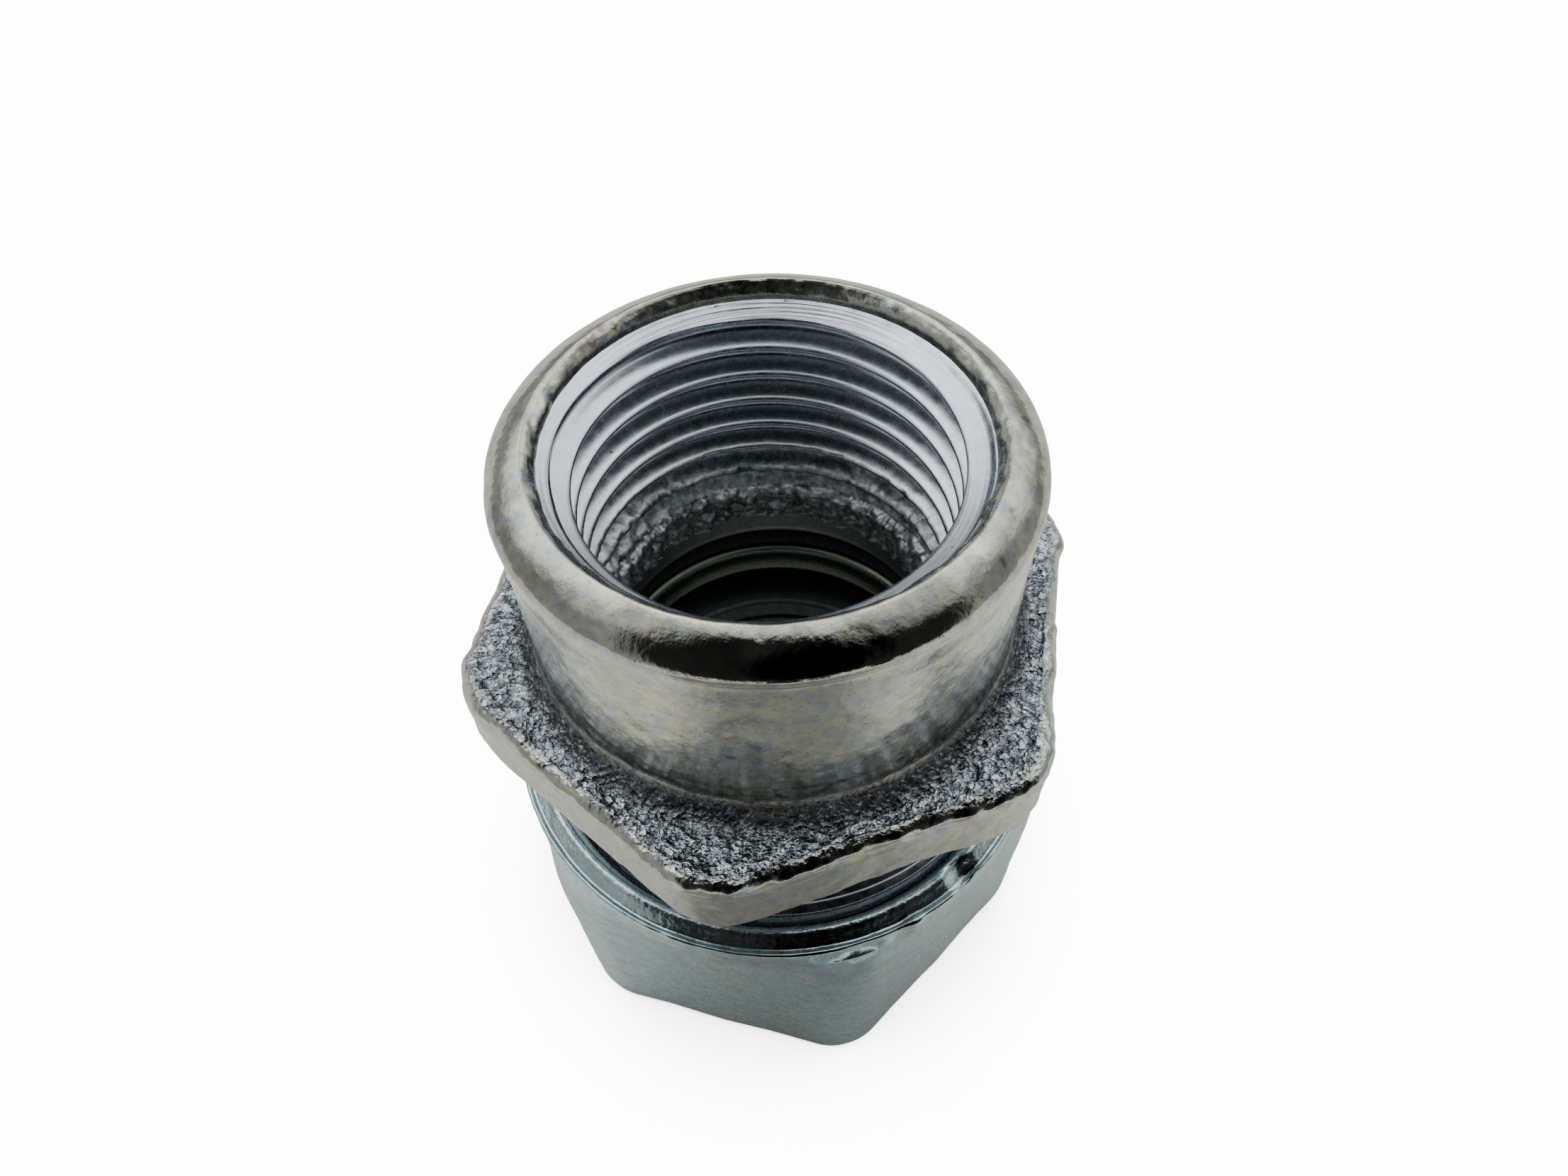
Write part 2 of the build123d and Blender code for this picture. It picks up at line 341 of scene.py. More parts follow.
# --- materials ------------------------------------------------------------------------
class Nodes:
    """A short way to write a node tree around one Principled shader."""

    def __init__(self, name, metallic, roughness):
        self.material = bpy.data.materials.new(name)
        self.material.use_nodes = True
        self.tree = self.material.node_tree
        self.shader = self.tree.nodes["Principled BSDF"]
        self.shader.inputs["Metallic"].default_value = metallic
        self.shader.inputs["Roughness"].default_value = roughness
        self.coords = self.tree.nodes.new("ShaderNodeTexCoord").outputs["Object"]
        self.height = None

    def link(self, a, b):
        self.tree.links.new(a, b)

    def noise(self, size_mm, detail=3.0, rough=0.55, distortion=0.0):
        node = self.tree.nodes.new("ShaderNodeTexNoise")
        node.inputs["Scale"].default_value = 1 / (size_mm * MM)
        node.inputs["Detail"].default_value = detail
        node.inputs["Roughness"].default_value = rough
        node.inputs["Distortion"].default_value = distortion
        self.link(self.coords, node.inputs["Vector"])
        return node.outputs["Fac"]

    def cells(self, size_mm):
        node = self.tree.nodes.new("ShaderNodeTexVoronoi")
        node.inputs["Scale"].default_value = 1 / (size_mm * MM)
        self.link(self.coords, node.inputs["Vector"])
        return node.outputs["Distance"]

    def turned(self, size_mm):
        """Noise that runs round the axis, as a cutting tool leaves it."""
        split = self.tree.nodes.new("ShaderNodeSeparateXYZ")
        self.link(self.coords, split.inputs[0])
        across = self.math("MULTIPLY", split.outputs["X"], split.outputs["X"])
        along = self.math("MULTIPLY", split.outputs["Y"], split.outputs["Y"])
        join = self.tree.nodes.new("ShaderNodeCombineXYZ")
        self.link(self.math("SQRT", self.math("ADD", across, along), 0.0), join.inputs["X"])
        self.link(split.outputs["Z"], join.inputs["Y"])
        self.link(self.math("MULTIPLY", split.outputs["X"], 0.02), join.inputs["Z"])
        node = self.tree.nodes.new("ShaderNodeTexNoise")
        node.inputs["Scale"].default_value = 1 / (size_mm * MM)
        node.inputs["Detail"].default_value = 2.0
        self.link(join.outputs[0], node.inputs["Vector"])
        return node.outputs["Fac"]

    def attr(self, name):
        node = self.tree.nodes.new("ShaderNodeAttribute")
        node.attribute_name = name
        return node.outputs["Fac"]

    def ramp(self, value, stops):
        node = self.tree.nodes.new("ShaderNodeValToRGB")
        band = node.color_ramp
        while len(band.elements) < len(stops):
            band.elements.new(0.5)
        for element, (at, colour) in zip(band.elements, stops):
            element.position = at
            element.color = (*colour, 1)
        self.link(value, node.inputs["Fac"])
        return node.outputs["Color"]

    def remap(self, value, low, high, to_low=0.0, to_high=1.0):
        node = self.tree.nodes.new("ShaderNodeMapRange")
        for k, v in zip(("From Min", "From Max", "To Min", "To Max"), (low, high, to_low, to_high)):
            node.inputs[k].default_value = v
        self.link(value, node.inputs["Value"])
        return node.outputs["Result"]

    def math(self, kind, a, b):
        node = self.tree.nodes.new("ShaderNodeMath")
        node.operation = kind
        for socket, v in zip(node.inputs, (a, b)):
            if isinstance(v, (int, float)):
                socket.default_value = v
            else:
                self.link(v, socket)
        return node.outputs[0]

    def mix(self, factor, a, b, kind="MIX"):
        node = self.tree.nodes.new("ShaderNodeMix")
        node.data_type = "RGBA"
        node.blend_type = kind
        for key, v in (("Factor", factor), ("A", a), ("B", b)):
            socket = [s for s in node.inputs if s.name == key and s.enabled][0]
            if isinstance(v, (int, float)):
                socket.default_value = v
            elif isinstance(v, tuple):
                socket.default_value = (*v, 1)
            else:
                self.link(v, socket)
        return [s for s in node.outputs if s.enabled][0]

    def bump(self, height, depth_mm, strength):
        node = self.tree.nodes.new("ShaderNodeBump")
        node.inputs["Strength"].default_value = strength
        node.inputs["Distance"].default_value = depth_mm * MM
        self.link(height, node.inputs["Height"])
        if self.height is not None:
            self.link(self.height, node.inputs["Normal"])
        self.height = node.outputs["Normal"]
        self.link(self.height, self.shader.inputs["Normal"])

    def colour(self, socket):
        self.link(socket, self.shader.inputs["Base Color"])

    def rough(self, socket):
        self.link(socket, self.shader.inputs["Roughness"])


WARM = [(0.53, 0.56, 0.58), (0.66, 0.67, 0.49), (0.58, 0.56, 0.57),
        (0.69, 0.71, 0.54), (0.53, 0.58, 0.59), (0.66, 0.66, 0.54)]
COOL = [(0.49, 0.66, 0.70), (0.55, 0.71, 0.73), (0.51, 0.68, 0.69),
        (0.59, 0.70, 0.68), (0.49, 0.66, 0.72)]
RUST = (0.16, 0.09, 0.07)
SAND_SKIN = [(0.38, (0.10, 0.12, 0.13)), (0.50, (0.26, 0.30, 0.34)), (0.64, (0.66, 0.73, 0.80))]
TORN_SKIN = [(0.38, (0.34, 0.37, 0.37)), (0.52, (0.52, 0.55, 0.56)), (0.64, (0.68, 0.71, 0.73))]
RUBBER = [(0.3, (0.012, 0.012, 0.012)), (0.7, (0.03, 0.03, 0.03))]


def film(n, size, tints):
    """The plating's tints, drifting into each other over about size."""
    drift = n.noise(size, 4.0, 0.6, 0.7)
    return n.ramp(drift, [(0.32 + 0.36 * k / (len(tints) - 1), t) for k, t in enumerate(tints)])


def cast_plating(name, tints, dark, size=3.2, gloss=(0.14, 0.27), rust_amount=0.6,
                 lump_depth=0.034):
    """Zinc plating on a casting: satin film, sand skin and painted shade, where the piece says so."""
    n = Nodes(name, 1.0, 0.3)
    sand = n.attr("sand")
    base = film(n, size, tints)
    base = n.mix(n.remap(n.noise(0.7, 5.0, 0.7), 0.42, 0.75, 0.0, 0.35), base, dark)
    specks = n.remap(n.noise(0.2, 3.0, 0.6), 0.62, 0.70)
    base = n.mix(n.math("MULTIPLY", specks, 0.5), base, dark)
    rust = n.math("MULTIPLY", n.remap(n.noise(1.7, 2.0), 0.69, 0.73), rust_amount)
    base = n.mix(rust, base, RUST)
    base = n.mix(sand, base, n.ramp(n.noise(0.5, 3.0, 0.6), SAND_SKIN))
    # Painted shade: the base is darkened towards the dark tint where painted_shade_and_tone says; the
    # same attribute also holds the bead's mottled tone.
    base = n.mix(n.attr("painted_shade_and_tone"), base, n.mix(0.2, dark, base))
    n.colour(base)
    satin = n.remap(n.noise(0.4, 4.0, 0.6), 0.3, 0.7, *gloss)
    n.rough(n.math("SUBTRACT", satin, n.math("MULTIPLY", n.attr("polish"), 0.10)))
    n.bump(n.noise(0.14, 3.0, 0.6), 0.004, 0.7)
    n.bump(n.noise(0.7, 3.0, 0.55), lump_depth, 0.7)
    n.bump(n.math("MULTIPLY", n.cells(0.26), sand), 0.11, 1.0)
    n.bump(n.math("MULTIPLY", n.noise(0.5, 3.0, 0.6), sand), 0.24, 1.0)
    return n.material


def machined_plating(name, tint, dark, gloss):
    """Zinc plating on a cut surface: fine grain, a few pits, and torn where the piece says so."""
    n = Nodes(name, 1.0, 0.3)
    torn = n.attr("torn")
    patches = n.remap(n.noise(0.8, 3.0, 0.5), 0.35, 0.7, 0.0, 0.3)
    base = n.mix(patches, tint, n.mix(0.4, tint, dark))
    grain = n.remap(n.noise(0.13, 2.0, 0.5), 0.60, 0.72)
    grain_amount = n.remap(n.noise(2.5, 3.0), 0.40, 0.62, 0.03, 0.3)
    base = n.mix(n.math("MULTIPLY", grain, grain_amount), base, dark)
    pits = n.remap(n.cells(0.9), 0.05, 0.10, 1.0, 0.0)
    base = n.mix(n.math("MULTIPLY", pits, n.remap(n.noise(1.3, 2.0), 0.56, 0.60)), base, dark)
    base = n.mix(torn, base, n.ramp(n.noise(0.4, 3.0, 0.6), TORN_SKIN))
    n.colour(base)
    satin = n.remap(n.noise(0.6, 3.0), 0.3, 0.7, *gloss)
    n.rough(n.math("ADD", satin, n.math("MULTIPLY", torn, 0.22)))
    n.bump(n.math("MULTIPLY", n.turned(0.14), n.attr("turned")), 0.03, 1.0)
    n.bump(n.math("MULTIPLY", n.noise(0.40, 3.0, 0.6), torn), 0.03, 1.0)
    return n.material


body_cast = cast_plating("body_cast", WARM, (0.062, 0.06, 0.058))
body_cut = machined_plating("body_thread", (0.62, 0.67, 0.73), (0.08, 0.08, 0.09), (0.20, 0.30))
# A darker, rougher copy of the cut plating for the pocket inside the body: the rougher gloss is its
# finish, the darker tint is painted shade.
body_inside_dull_and_shaded = machined_plating("body_inside", (0.34, 0.40, 0.37), (0.05, 0.05, 0.05), (0.3, 0.42))
nut_cast = cast_plating("nut_cast", COOL, (0.10, 0.10, 0.105), size=4.5, gloss=(0.23, 0.36),
                        rust_amount=0.0, lump_depth=0.013)


# --- body -----------------------------------------------------------------------------
def flange_edge(theta):
    """The flange's outline, as the casting left it, and the rise and fall of its edge."""
    place = np.stack([15 * np.cos(theta), 15 * np.sin(theta), 0 * theta], -1)
    outline = hex_radius(theta, FLANGE_APOTHEM, FLANGE_CORNER_R, 0.0)
    return outline + 0.09 * value_noise(place, 4.5, 78), 0.14 * value_noise(place, 3.0, 77)


def body_outline():
    """The body's rows: up the socket, over the bead, down the outside and up the pocket."""
    s = Rings(COLUMNS)
    s.line((8.9, TUBE_STOP), (8.95, LEDGE_TOP - 0.1), 16, "ledge")
    s.line((9.0, LEDGE_TOP), (PIPE_MINOR_R, LEDGE_TOP + 0.25), 3, "ledge")
    s.helix(socket_r, LEDGE_TOP + 0.3, MOUTH_EDGE[1] - 0.02, PIPE_CREST_Z, PIPE_PITCH, 18, "thread")
    s.row(MOUTH_EDGE[0], MOUTH_EDGE[1], "lip")
    s.smooth([MOUTH_EDGE, (10.63, 39.55), (10.78, 39.84), BEAD_TOP], 5, "lip")
    s.smooth([BEAD_TOP, (11.15, 40.2), (11.35, 40.15), (11.8, 39.94), (12.3, 39.63), (12.7, 39.3),
              (12.93, 39.05), BEAD_END], 5, "bead")
    s.smooth([BEAD_END, (13.1, 38.62), (13.05, 38.5), (13.06, 38.2), BARREL_TOP], 5, "barrel")
    s.line(BARREL_TOP, BARREL_FOOT, 44, "barrel", 1)
    s.smooth([BARREL_FOOT, (12.96, 28.7), (13.2, 28.05), (13.6, 27.6), (FACE_INNER_R, 27.45)],
             6, "root")
    edge, wave = flange_edge(s.theta)
    for k in range(1, 25):
        t = k / 24
        r = FACE_INNER_R + (edge - CREST_ROUND - FACE_INNER_R) * t
        s.row(r, FACE_Z + (CREST_RISE + wave) * ramp(t, 0.65, 1.0), "face")
    for k in range(1, 10):
        a = math.pi / 2 * k / 9
        s.row(edge - CREST_ROUND + CREST_ROUND * math.sin(a),
              CREST_Z + wave - CREST_ROUND * (1 - math.cos(a)), "crest")
    for k in range(1, 17):
        s.row(edge, RIM_TOP + wave + (RIM_FOOT - RIM_TOP - wave) * k / 16, "rim")
    for k in range(1, 6):
        a = math.pi / 2 * k / 5
        s.row(edge - RIM_FOOT_ROUND * (1 - math.cos(a)), RIM_FOOT - RIM_FOOT_ROUND * math.sin(a), "rim")
    for k in range(1, 7):
        s.row(edge - RIM_FOOT_ROUND + (13.6 - edge + RIM_FOOT_ROUND) * k / 6, HEX_BOTTOM, "under")
    s.helix(neck_r, NECK_END, HEX_BOTTOM - 0.1, GLAND_CREST_Z, GLAND_PITCH, 12, "neck", down=True)
    s.line((13.1, NECK_END), (12.2, NECK_END), 4, "pocket", 1)
    s.line((12.2, NECK_END), (POCKET_R, NECK_END + 1.2), 4, "pocket", 1)
    s.line((POCKET_R, NECK_END + 1.2), (POCKET_R, POCKET_TOP), 12, "pocket", 1)
    s.line((POCKET_R, POCKET_TOP), (LEDGE_R, POCKET_TOP), 5, "pocket", 1)
    s.line((LEDGE_R, POCKET_TOP), (LEDGE_R, TUBE_STOP), 6, "pocket", 1)
    return s


def build_body():
    s = body_outline()
    slots = {zone: 0 for zone in ("lip", "bead", "barrel", "root", "face", "crest", "rim", "under")}
    slots.update(ledge=1, thread=1, neck=1, pocket=2)
    mesh = s.mesh("body_casting", slots)
    p = coordinates(mesh)
    height = s.relief(p, (
        ("ledge", 0.8, 0.20, 4),
        ("lip", 0.9, 0.06, 2),
        ("bead", 1.4, 0.014, 2),
        ("barrel", 2.2, 0.03, 4),
        ("root", 1.2, 0.04, 4),
        ("face", 0.9, 0.12, 4),
        ("crest", 1.7, 0.13, 3),
        ("rim", 1.8, 0.07, 3),
        ("under", 0.8, 0.06, 3),
        ("neck", 0.5, 0.006, 2),
    ), 11)
    torn = ramp(p[:, 2], 30.6, 27.6) * s.share("thread", 0.02)
    height += 0.08 * torn * layered(p, 0.7, 5, 3)
    displaced(mesh, height)
    sand = s.share("face", 0.25) + 0.06 * s.share("lip", 0.15)
    low = s.share("root", 0.2) * ramp(p[:, 2], 28.9, 27.9)
    attribute(mesh, "sand", np.clip(1.15 * sand + low, 0, 1))
    mottle = s.share("bead", 0.3) * np.clip(0.42 + 0.26 * layered(p, 1.1, 8), 0, 0.9)
    # Painted shade in the crease at the barrel's root, darker towards its foot.
    low_root = s.share("root", 0.2) * ramp(p[:, 2], 29.2, 28.2)
    # Painted shade on the flange's face, darker towards the barrel.
    inner_face = s.share("face", 0.5) * ramp(np.hypot(p[:, 0], p[:, 1]), 15.2, 13.6)
    # Painted shade in the step at the foot of the lip, round the socket's mouth.
    lip_foot = s.share("lip", 0.05) * ramp(p[:, 2], 39.75, 39.45)
    # painted_shade_and_tone: painted shade at the root, on the face by the barrel and at the lip's
    # foot; the rim and crest a little darker, and the bead mottled.
    attribute(mesh, "painted_shade_and_tone", np.clip(
        0.5 * s.share("root", 0.35) + 0.4 * low_root + mottle + 0.35 * inner_face
        + 0.16 * (s.share("rim", 0.2) + s.share("crest", 0.2)) + 0.5 * lip_foot, 0, 1))
    attribute(mesh, "polish", 1.4 * s.share("bead", 0.4) + 0.4 * s.share("crest", 0.3)
              - 0.8 * s.share("lip", 0.1) - 1.6 * low_root)
    attribute(mesh, "torn", np.clip(torn + s.share("ledge", 0.1), 0, 1))
    attribute(mesh, "turned", ramp(p[:, 2], 37.8, 38.1) * s.share("thread", 0.05))
    for material in (body_cast, body_cut, body_inside_dull_and_shaded):
        mesh.materials.append(material)
    return bpy.data.objects.new("body_casting", mesh)


# --- nut ------------------------------------------------------------------------------
def near_angle(theta, centre, half_width):
    """1 at an angle round the axis, falling smoothly to 0 at half_width either side."""
    away = np.abs((theta - centre + math.pi) % TAU - math.pi)
    return 1 - ramp(away, 0, half_width)


def nut_side_r(z, theta):
    """Radius of the nut's outside: a drafted hexagon that flares into a turned collar."""
    hexagon = hex_radius(theta, NUT_APOTHEM + NUT_DRAFT * z, NUT_CORNER_R, NUT_TURN)
    flare = FLARE_FOOT_R + (COLLAR[0] - FLARE_FOOT_R) * ramp(z, *FLARE_HEIGHTS)
    cut = COLLAR[0] + COLLAR_CUT[0] + (COLLAR[1] - z) * COLLAR_CUT[1]
    return smooth_min(smooth_max(hexagon, flare, 0.02), cut, 0.3)


def nut_outline():
    """The nut's rows: up the tube's hole and the thread, over the rim and down the outside."""
    s = Rings(COLUMNS)
    th = s.theta
    s.line((10.3, 0.0), (9.35, 0.55), 4, "hole")
    s.line((9.3, 0.6), (9.3, 3.7), 8, "hole")
    s.line((9.3, 3.7), (11.6, NUT_THREAD_FOOT), 8, "hole", 1)
    s.line((11.6, NUT_THREAD_FOOT), (13.0, NUT_THREAD_FOOT), 4, "hole", 1)
    s.helix(nut_bore_r, NUT_THREAD_FOOT + 0.05, NUT_TOP - 0.02, GLAND_CREST_Z, GLAND_PITCH, 12,
            "bore")
    s.smooth([(NUT_MOUTH_R, NUT_TOP), (14.8, NUT_TOP + 0.03), (15.05, NUT_TOP - 0.08),
              (15.3, NUT_TOP - 0.32), (15.55, NUT_TOP - 0.56), (15.68, NUT_TOP - 0.6)], 5, "rim")
    top = nut_side_r(COLLAR[1] - 0.1, th)
    for r, z in ((15.74, 16.63), (15.8, 16.67), (15.87, 16.68), (15.94, 16.64), (16.0, 16.56),
                 (16.05, 16.44), (16.08, 16.28)):
        s.row(np.minimum(r, top + 0.05), z, "ridge")
    for k in range(0, 8):
        z = COLLAR[1] - 0.1 - 0.1 * k
        s.row(nut_side_r(z, th), z, "ridge")
    for k in range(1, 62):
        z = COLLAR[1] - 0.8 - (COLLAR[1] - 0.8 - NUT_FOOT_ROUND) * k / 61
        s.row(nut_side_r(z, th), z, "side")
    low = nut_side_r(NUT_FOOT_ROUND, th)
    for k in range(1, 6):
        a = math.pi / 2 * k / 5
        s.row(low - NUT_FOOT_ROUND * (1 - math.cos(a)), NUT_FOOT_ROUND * (1 - math.sin(a)), "side")
    for k in range(1, 8):
        s.row(low - NUT_FOOT_ROUND + (10.35 - low + NUT_FOOT_ROUND) * k / 7, 0.0, "base")
    return s


def build_nut():
    s = nut_outline()
    slots = {zone: 0 for zone in ("hole", "bore", "rim", "ridge", "side", "base")}
    mesh = s.mesh("nut_casting", slots)
    p = coordinates(mesh)
    height = s.relief(p, (
        ("hole", 0.8, 0.02, 3),
        ("rim", 1.6, 0.02, 3),
        ("ridge", 1.2, 0.06, 2),
        ("side", 2.4, 0.03, 4),
        ("base", 1.0, 0.0, 1),
    ), 31)
    angle = np.arctan2(p[:, 1], p[:, 0])
    top_share = s.share("rim", 0.2) + s.share("ridge", 0.2)
    height -= 0.34 * near_angle(angle, CLEFT, 0.085) * np.clip(top_share, 0, 1)
    height += 0.22 * near_angle(angle, BUMP, 0.06) * s.share("ridge", 0.25)
    displaced(mesh, height)
    attribute(mesh, "sand", np.clip(0.12 * s.share("rim", 0.2), 0, 1))
    # Painted shade in the cleft on the nut's rim and over the whole of the tube's hole.
    in_cleft = near_angle(angle, CLEFT, 0.05) * top_share
    attribute(mesh, "painted_shade_and_tone", np.clip(0.5 * in_cleft + s.share("hole", 0.1), 0, 1))
    attribute(mesh, "polish", 2.0 * s.share("ridge", 0.2) + 1.2 * s.share("rim", 0.2))
    mesh.materials.append(nut_cast)
    return bpy.data.objects.new("nut_casting", mesh)


# --- seal and washer --------------------------------------------------------------------
def build_ring(name, knots, steps, size, depth, seed):
    """A ring whose closed outline runs smoothly through the knots, with a slight unevenness."""
    s = Rings(RING_COLUMNS)
    s.smooth(knots + [knots[0]], steps, "ring")
    mesh = s.mesh(name, {"ring": 0})
    displaced(mesh, depth * layered(coordinates(mesh), size, seed, 3))
    return bpy.data.objects.new(name, mesh)


# Painted shade: the washer and the clamp ring, deep in the body, are given dark tints.
ring_steel = machined_plating("washer_steel", (0.17, 0.195, 0.155), (0.08, 0.09, 0.07),
                              (0.26, 0.34))
clamp_steel = machined_plating("clamp_steel", (0.26, 0.30, 0.28), (0.10, 0.10, 0.10), (0.6, 0.72))
rubber = Nodes("seal_rubber", 0.0, 0.6)
rubber.colour(rubber.ramp(rubber.noise(0.4), RUBBER))
rubber.bump(rubber.noise(0.2), 0.02, 0.5)
SEAL_KNOTS = [(11.5, 22.3), (11.3, 22.48), (10.2, 22.48), (9.75, 22.2), (9.6, 21.45),
              (9.75, 20.7), (10.2, 20.42), (11.3, 20.42), (11.5, 20.6), (11.54, 21.45)]
WASHER_KNOTS = [(11.3, 20.38), (10.2, 20.38), (9.75, 20.3), (9.45, 20.05), (9.31, 19.6),
                (9.3, 18.9), (9.4, 18.5), (9.7, 18.41), (11.3, 18.41), (11.39, 18.6), (11.39, 20.2)]
seal = build_ring("seal_moulding", SEAL_KNOTS, 4, 0.8, 0.01, 3)
seal.data.materials.append(rubber.material)
washer = build_ring("washer_ring", WASHER_KNOTS, 5, 0.9, 0.001, 4)
washer.data.materials.append(ring_steel)
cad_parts["clamp_ring"].data.materials.clear()
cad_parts["clamp_ring"].data.materials.append(clamp_steel)

for piece, node, body_name, slot in (
    (build_body(), "body", "body", "body_plating"),
    (build_nut(), "compression_nut", "nut", "nut_plating"),
    (seal, "seal_ring", "body", "seal_rubber"),
    (washer, "thrust_washer", "body", "washer_steel"),
):
    bpy.context.collection.objects.link(piece)
    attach(piece, body_name)
    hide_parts(node)

# --- floor, light and camera ----------------------------------------------------------
# The floor's lengths are in metres.
REACH = 2.0
FLOOR_DROP = 0.0003
FLOOR_DARK = (0.29, 0.29, 0.29)
FLOOR_PALE = (0.92, 0.92, 0.88)
FLOOR_SHADOW_PATCHES = (         # painted shadows on the floor in front of the part, which the metal reflects: middle, inner and outer reach
    ((0.009, -0.034, 0), 0.013, 0.027),
    ((0.025, -0.117, 0), 0.060, 0.090),
)
SEEN_STRENGTH = 14.0      # of the floor and the backdrop as the camera sees them
CONTACT_STRENGTH = 1.2    # of the floor in its painted contact shadow, where the part is near
floor_mesh = bpy.data.meshes.new("floor")
corners = [(-REACH, -REACH, 0), (REACH, -REACH, 0), (REACH, REACH, 0), (-REACH, REACH, 0)]
floor_mesh.from_pydata(corners, [], [(0, 1, 2, 3)])
floor = bpy.data.objects.new("floor", floor_mesh)
floor.location.z = -FLOOR_DROP
bpy.context.collection.objects.link(floor)
paper = Nodes("floor_paper", 0.0, 0.9)


def beyond(point, inner, outer):
    """0 on the floor within inner of a point, 1 past outer."""
    node = paper.tree.nodes.new("ShaderNodeVectorMath")
    node.operation = "DISTANCE"
    paper.link(paper.coords, node.inputs[0])
    node.inputs[1].default_value = point
    return paper.remap(node.outputs["Value"], inner, outer)


# Painted shadow: the floor is FLOOR_DARK inside these patches and pale outside them.
pale = paper.math("MINIMUM", *(beyond(*patch) for patch in FLOOR_SHADOW_PATCHES))
paper.colour(paper.mix(pale, FLOOR_DARK, FLOOR_PALE))
# The camera sees the floor as a glow, dimmed by ambient occlusion into a painted contact shadow; other
# rays see the paper.
occlusion = paper.tree.nodes.new("ShaderNodeAmbientOcclusion")
occlusion.inputs["Distance"].default_value = 0.012
glow = paper.tree.nodes.new("ShaderNodeEmission")
paper.link(paper.remap(occlusion.outputs["AO"], 0.35, 0.85, CONTACT_STRENGTH, SEEN_STRENGTH),
           glow.inputs["Strength"])
either = paper.tree.nodes.new("ShaderNodeMixShader")
paper.link(paper.tree.nodes.new("ShaderNodeLightPath").outputs["Is Camera Ray"], either.inputs[0])
paper.link(paper.shader.outputs[0], either.inputs[1])
paper.link(glow.outputs[0], either.inputs[2])
paper.link(either.outputs[0], paper.tree.nodes["Material Output"].inputs["Surface"])
floor_mesh.materials.append(paper.material)

CAMERA_TURN = math.radians(10.65)     # from the fitted frame to the part's, round Z
CAMERA_PLACE_MM = (1.61, -36.13, 74.44)
CAMERA_PITCH = math.radians(51.93)
CAMERA_HEADING = math.radians(-1.58)
CAMERA_ROLL = math.radians(-1.71)
camera_data = bpy.data.cameras.new("camera")
camera = bpy.data.objects.new("camera", camera_data)
bpy.context.collection.objects.link(camera)
camera_data.sensor_fit = "HORIZONTAL"
camera_data.sensor_width = 36.0
camera_data.lens = 24.84
camera_data.clip_start = 0.001
camera_data.clip_end = 10.0
heading = CAMERA_HEADING - CAMERA_TURN
forward = Vector((math.sin(heading) * math.cos(CAMERA_PITCH),
                  math.cos(heading) * math.cos(CAMERA_PITCH), -math.sin(CAMERA_PITCH)))
right = Vector((math.cos(heading), -math.sin(heading), 0))
up = right.cross(forward)
right_rolled = right * math.cos(CAMERA_ROLL) + up * math.sin(CAMERA_ROLL)
up_rolled = -right * math.sin(CAMERA_ROLL) + up * math.cos(CAMERA_ROLL)
place = Matrix.Rotation(CAMERA_TURN, 3, "Z") @ Vector(CAMERA_PLACE_MM) * MM
turn = Matrix((right_rolled, up_rolled, -forward)).transposed()
camera.matrix_world = Matrix.Translation(place) @ turn.to_4x4()
bpy.context.scene.camera = camera

# A very weak light up the bore, which lifts the edges of the washer and the clamp ring.
glimmer_data = bpy.data.lights.new("bore_light", "AREA")
glimmer_data.shape = "DISK"
glimmer_data.size = 16 * MM
glimmer_data.energy = 0.00007
glimmer = bpy.data.objects.new("bore_light", glimmer_data)
glimmer.matrix_world = Matrix.Translation((0, 0, 1 * MM)) @ Matrix.Rotation(math.pi, 4, "X")
glimmer.visible_camera = False
bpy.context.collection.objects.link(glimmer)

TENT_STRENGTH = 0.44
DARK_SHARE = 0.06         # how much of the tent's light is left in its dark sides
# Dark sides: azimuth from the camera's, elevation, outer and inner reach, all in degrees.
DARK_SIDES = (
    (-6, 36, 43, 34),
    (34, 30, 42, 31),
)
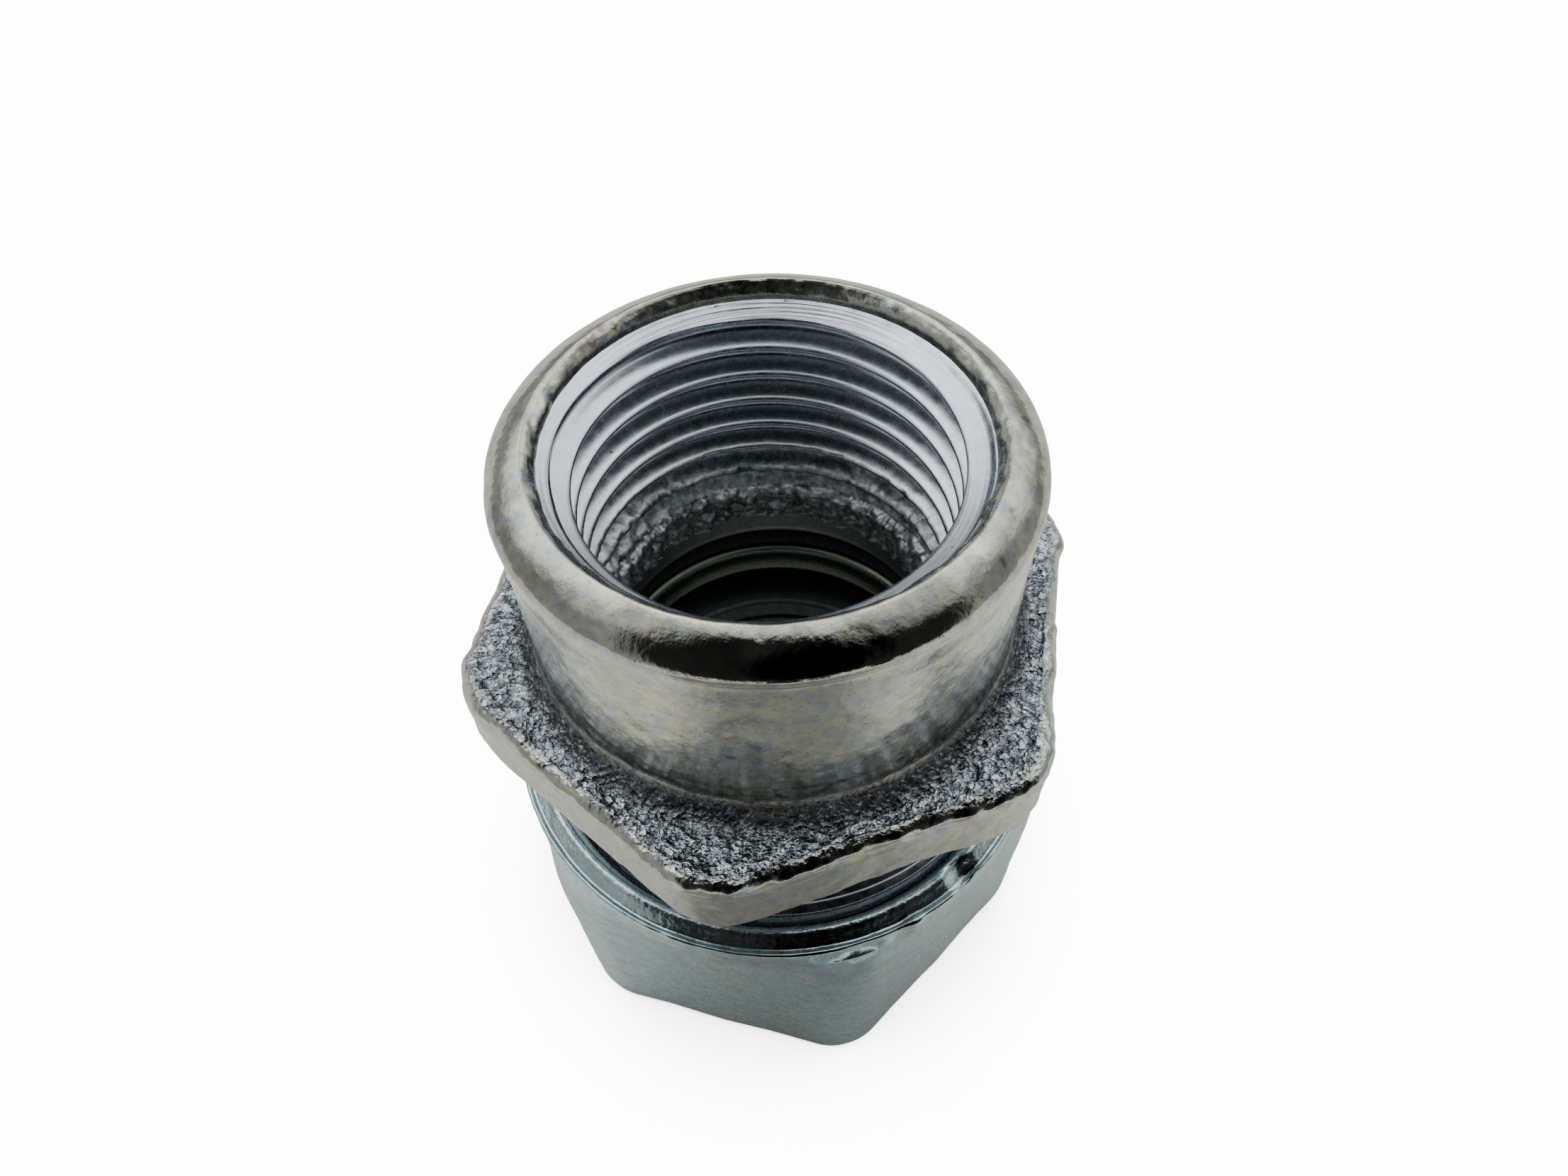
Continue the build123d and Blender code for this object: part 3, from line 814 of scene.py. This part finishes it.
# Lamps: the same, and how strong each one is.
LAMPS = (
    (-132, 46, 38, 12, 1.7),
    (136, 42, 38, 12, 1.4),
    (180, 84, 27, 10, 1.15),
    (92, 60, 30, 10, 0.6),
    (-95, 56, 30, 10, 0.5),
)
world = bpy.data.worlds.new("studio")
bpy.context.scene.world = world
world.use_nodes = True
wt = world.node_tree
background = wt.nodes["Background"]
direction = wt.nodes.new("ShaderNodeTexCoord").outputs["Generated"]


def lobe(azimuth, elevation, outer, inner, rim_value, core_value):
    """A round patch of sky: core_value inside inner degrees, rim_value past outer degrees."""
    a = math.radians(azimuth)
    e = math.radians(elevation)
    dot = wt.nodes.new("ShaderNodeVectorMath")
    dot.operation = "DOT_PRODUCT"
    wt.links.new(direction, dot.inputs[0])
    dot.inputs[1].default_value = (math.cos(a) * math.cos(e), math.sin(a) * math.cos(e), math.sin(e))
    node = wt.nodes.new("ShaderNodeMapRange")
    node.interpolation_type = "SMOOTHSTEP"
    node.inputs["From Min"].default_value = math.cos(math.radians(outer))
    node.inputs["From Max"].default_value = math.cos(math.radians(inner))
    node.inputs["To Min"].default_value = rim_value
    node.inputs["To Max"].default_value = core_value
    wt.links.new(dot.outputs["Value"], node.inputs["Value"])
    return node.outputs["Result"]


def combine(kind, a, b):
    node = wt.nodes.new("ShaderNodeMath")
    node.operation = kind
    for socket, value in zip(node.inputs, (a, b)):
        if isinstance(value, (int, float)):
            socket.default_value = value
        else:
            wt.links.new(value, socket)
    return node.outputs[0]


def combine_all(kind, values):
    total = values[0]
    for value in values[1:]:
        total = combine(kind, total, value)
    return total


FRONT = math.degrees(math.atan2(-forward.y, -forward.x))
tent = combine_all("MULTIPLY", [lobe(FRONT + azimuth, elevation, outer, inner, 1.0, DARK_SHARE)
                                for azimuth, elevation, outer, inner in DARK_SIDES])
lamps = combine_all("ADD", [lobe(FRONT + azimuth, elevation, outer, inner, 0.0, strength)
                            for azimuth, elevation, outer, inner, strength in LAMPS])
light = combine("ADD", combine("MULTIPLY", tent, TENT_STRENGTH), lamps)
seen = wt.nodes.new("ShaderNodeLightPath").outputs["Is Camera Ray"]
wt.links.new(combine("MAXIMUM", light, combine("MULTIPLY", seen, SEEN_STRENGTH)),
             background.inputs["Strength"])
background.inputs["Color"].default_value = (1, 1, 1, 1)
